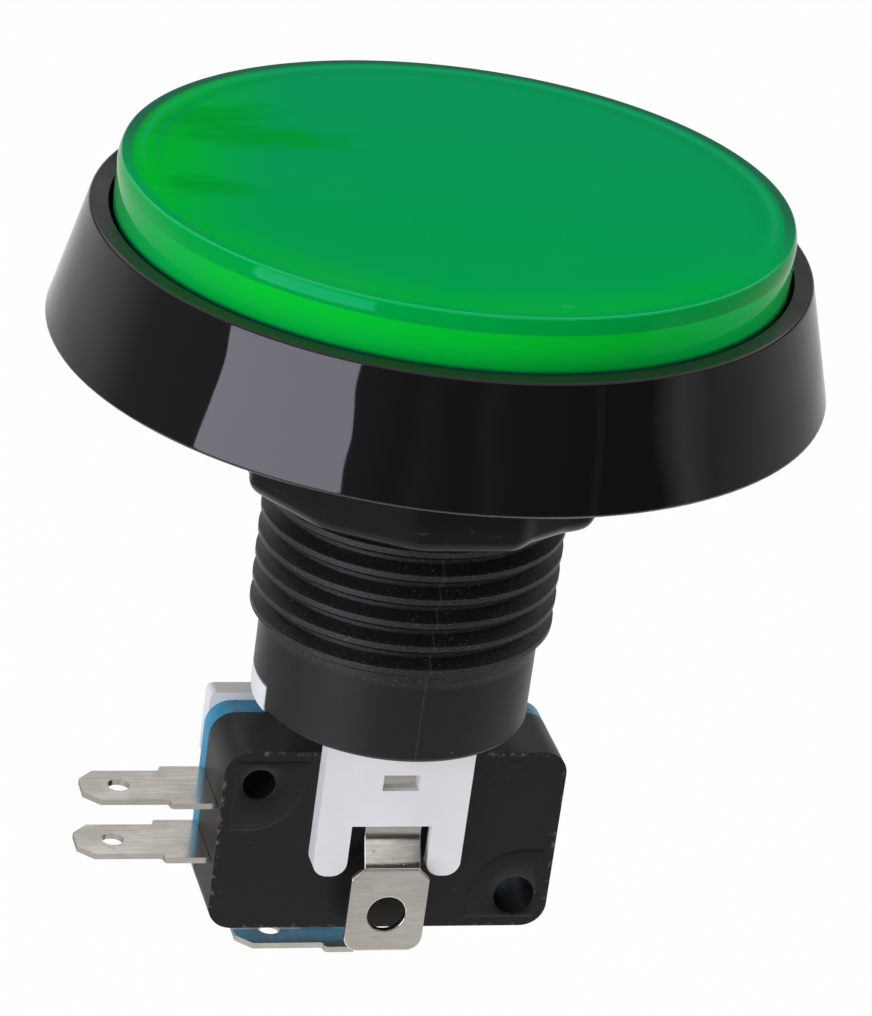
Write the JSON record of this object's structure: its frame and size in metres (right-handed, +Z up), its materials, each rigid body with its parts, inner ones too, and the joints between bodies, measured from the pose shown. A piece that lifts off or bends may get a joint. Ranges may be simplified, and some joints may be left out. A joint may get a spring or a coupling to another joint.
{
  "type": "illuminated push button",
  "caption": "Large round panel push button with a flat green lens, black conical bezel, threaded neck and nut, plug-in lamp holder and side-tab snap switch below.",
  "frame": {"origin": "on the button's axis, in the plane of the seat under the bezel that rests on the panel", "axes": "+Z up along the axis towards the lens; +X along the snap switch, whose end tabs point to -X; +Y from the switch's base to its cover"},
  "size_m": [0.0598, 0.0598, 0.0657],
  "materials": {
    "green_lens": "clear green, polished",
    "white_diffuser": "matt",
    "white_plastic": "satin",
    "spring_steel": "drawn wire",
    "black_plastic": "gloss",
    "lamp_plastic": "satin",
    "lamp_clear": "clear",
    "nickel_plated": "nickel plated",
    "black_case": "satin",
    "blue_cover": "translucent",
    "bronze_strip": "rolled",
    "silver_contact": "silver faced"
  },
  "bodies": {
    "body": {"housing": "black_plastic", "lamp_holder": "white_plastic", "lamp_base": "lamp_plastic", "lamp_bulb": "lamp_clear", "lamp_terminal_front": "nickel_plated", "lamp_terminal_rear": "nickel_plated", "switch_base": "black_case", "switch_cover": "blue_cover", "normally_closed_terminal": "nickel_plated", "normally_open_terminal": "nickel_plated", "common_terminal": "nickel_plated", "normally_closed_contact": "silver_contact", "normally_open_contact": "silver_contact", "return_spring": "spring_steel"},
    "button": {"lens_cap": "green_lens", "diffuser": "white_diffuser", "plunger": "white_plastic"},
    "actuator": {"switch_actuator": "black_case"},
    "blade": {"snap_blade": "bronze_strip", "moving_contact": "silver_contact", "snap_spring": "bronze_strip"},
    "nut": {"panel_nut": "black_plastic"}
  },
  "joints": [
    {"name": "button_press", "type": "slide", "parent": "body", "child": "button", "axis": [0, 0, -1], "range_m": [0, 0.0023], "stiffness_N_per_m": 300, "springref_m": -0.0028, "deforming": ["return_spring"]},
    {"name": "actuator_slide", "type": "slide", "parent": "body", "child": "actuator", "axis": [0, 0, -1], "range_m": [0, 0.0023]},
    {"name": "blade_swing", "type": "hinge", "parent": "body", "child": "blade", "pos_m": [0.01015, 0, -0.0406], "axis": [0, -1, 0], "range_deg": [0, 2.6], "deforming": ["snap_spring"]},
    {"name": "nut_travel", "type": "slide", "parent": "body", "child": "nut", "axis": [0, 0, -1], "range_m": [0, 0.012]}
  ],
  "couplings": [
    {"joint": "actuator_slide", "follows": "button_press", "ratio": 1},
    {"joint": "blade_swing", "follows": "button_press", "rad_per_m": 19.7}
  ]
}
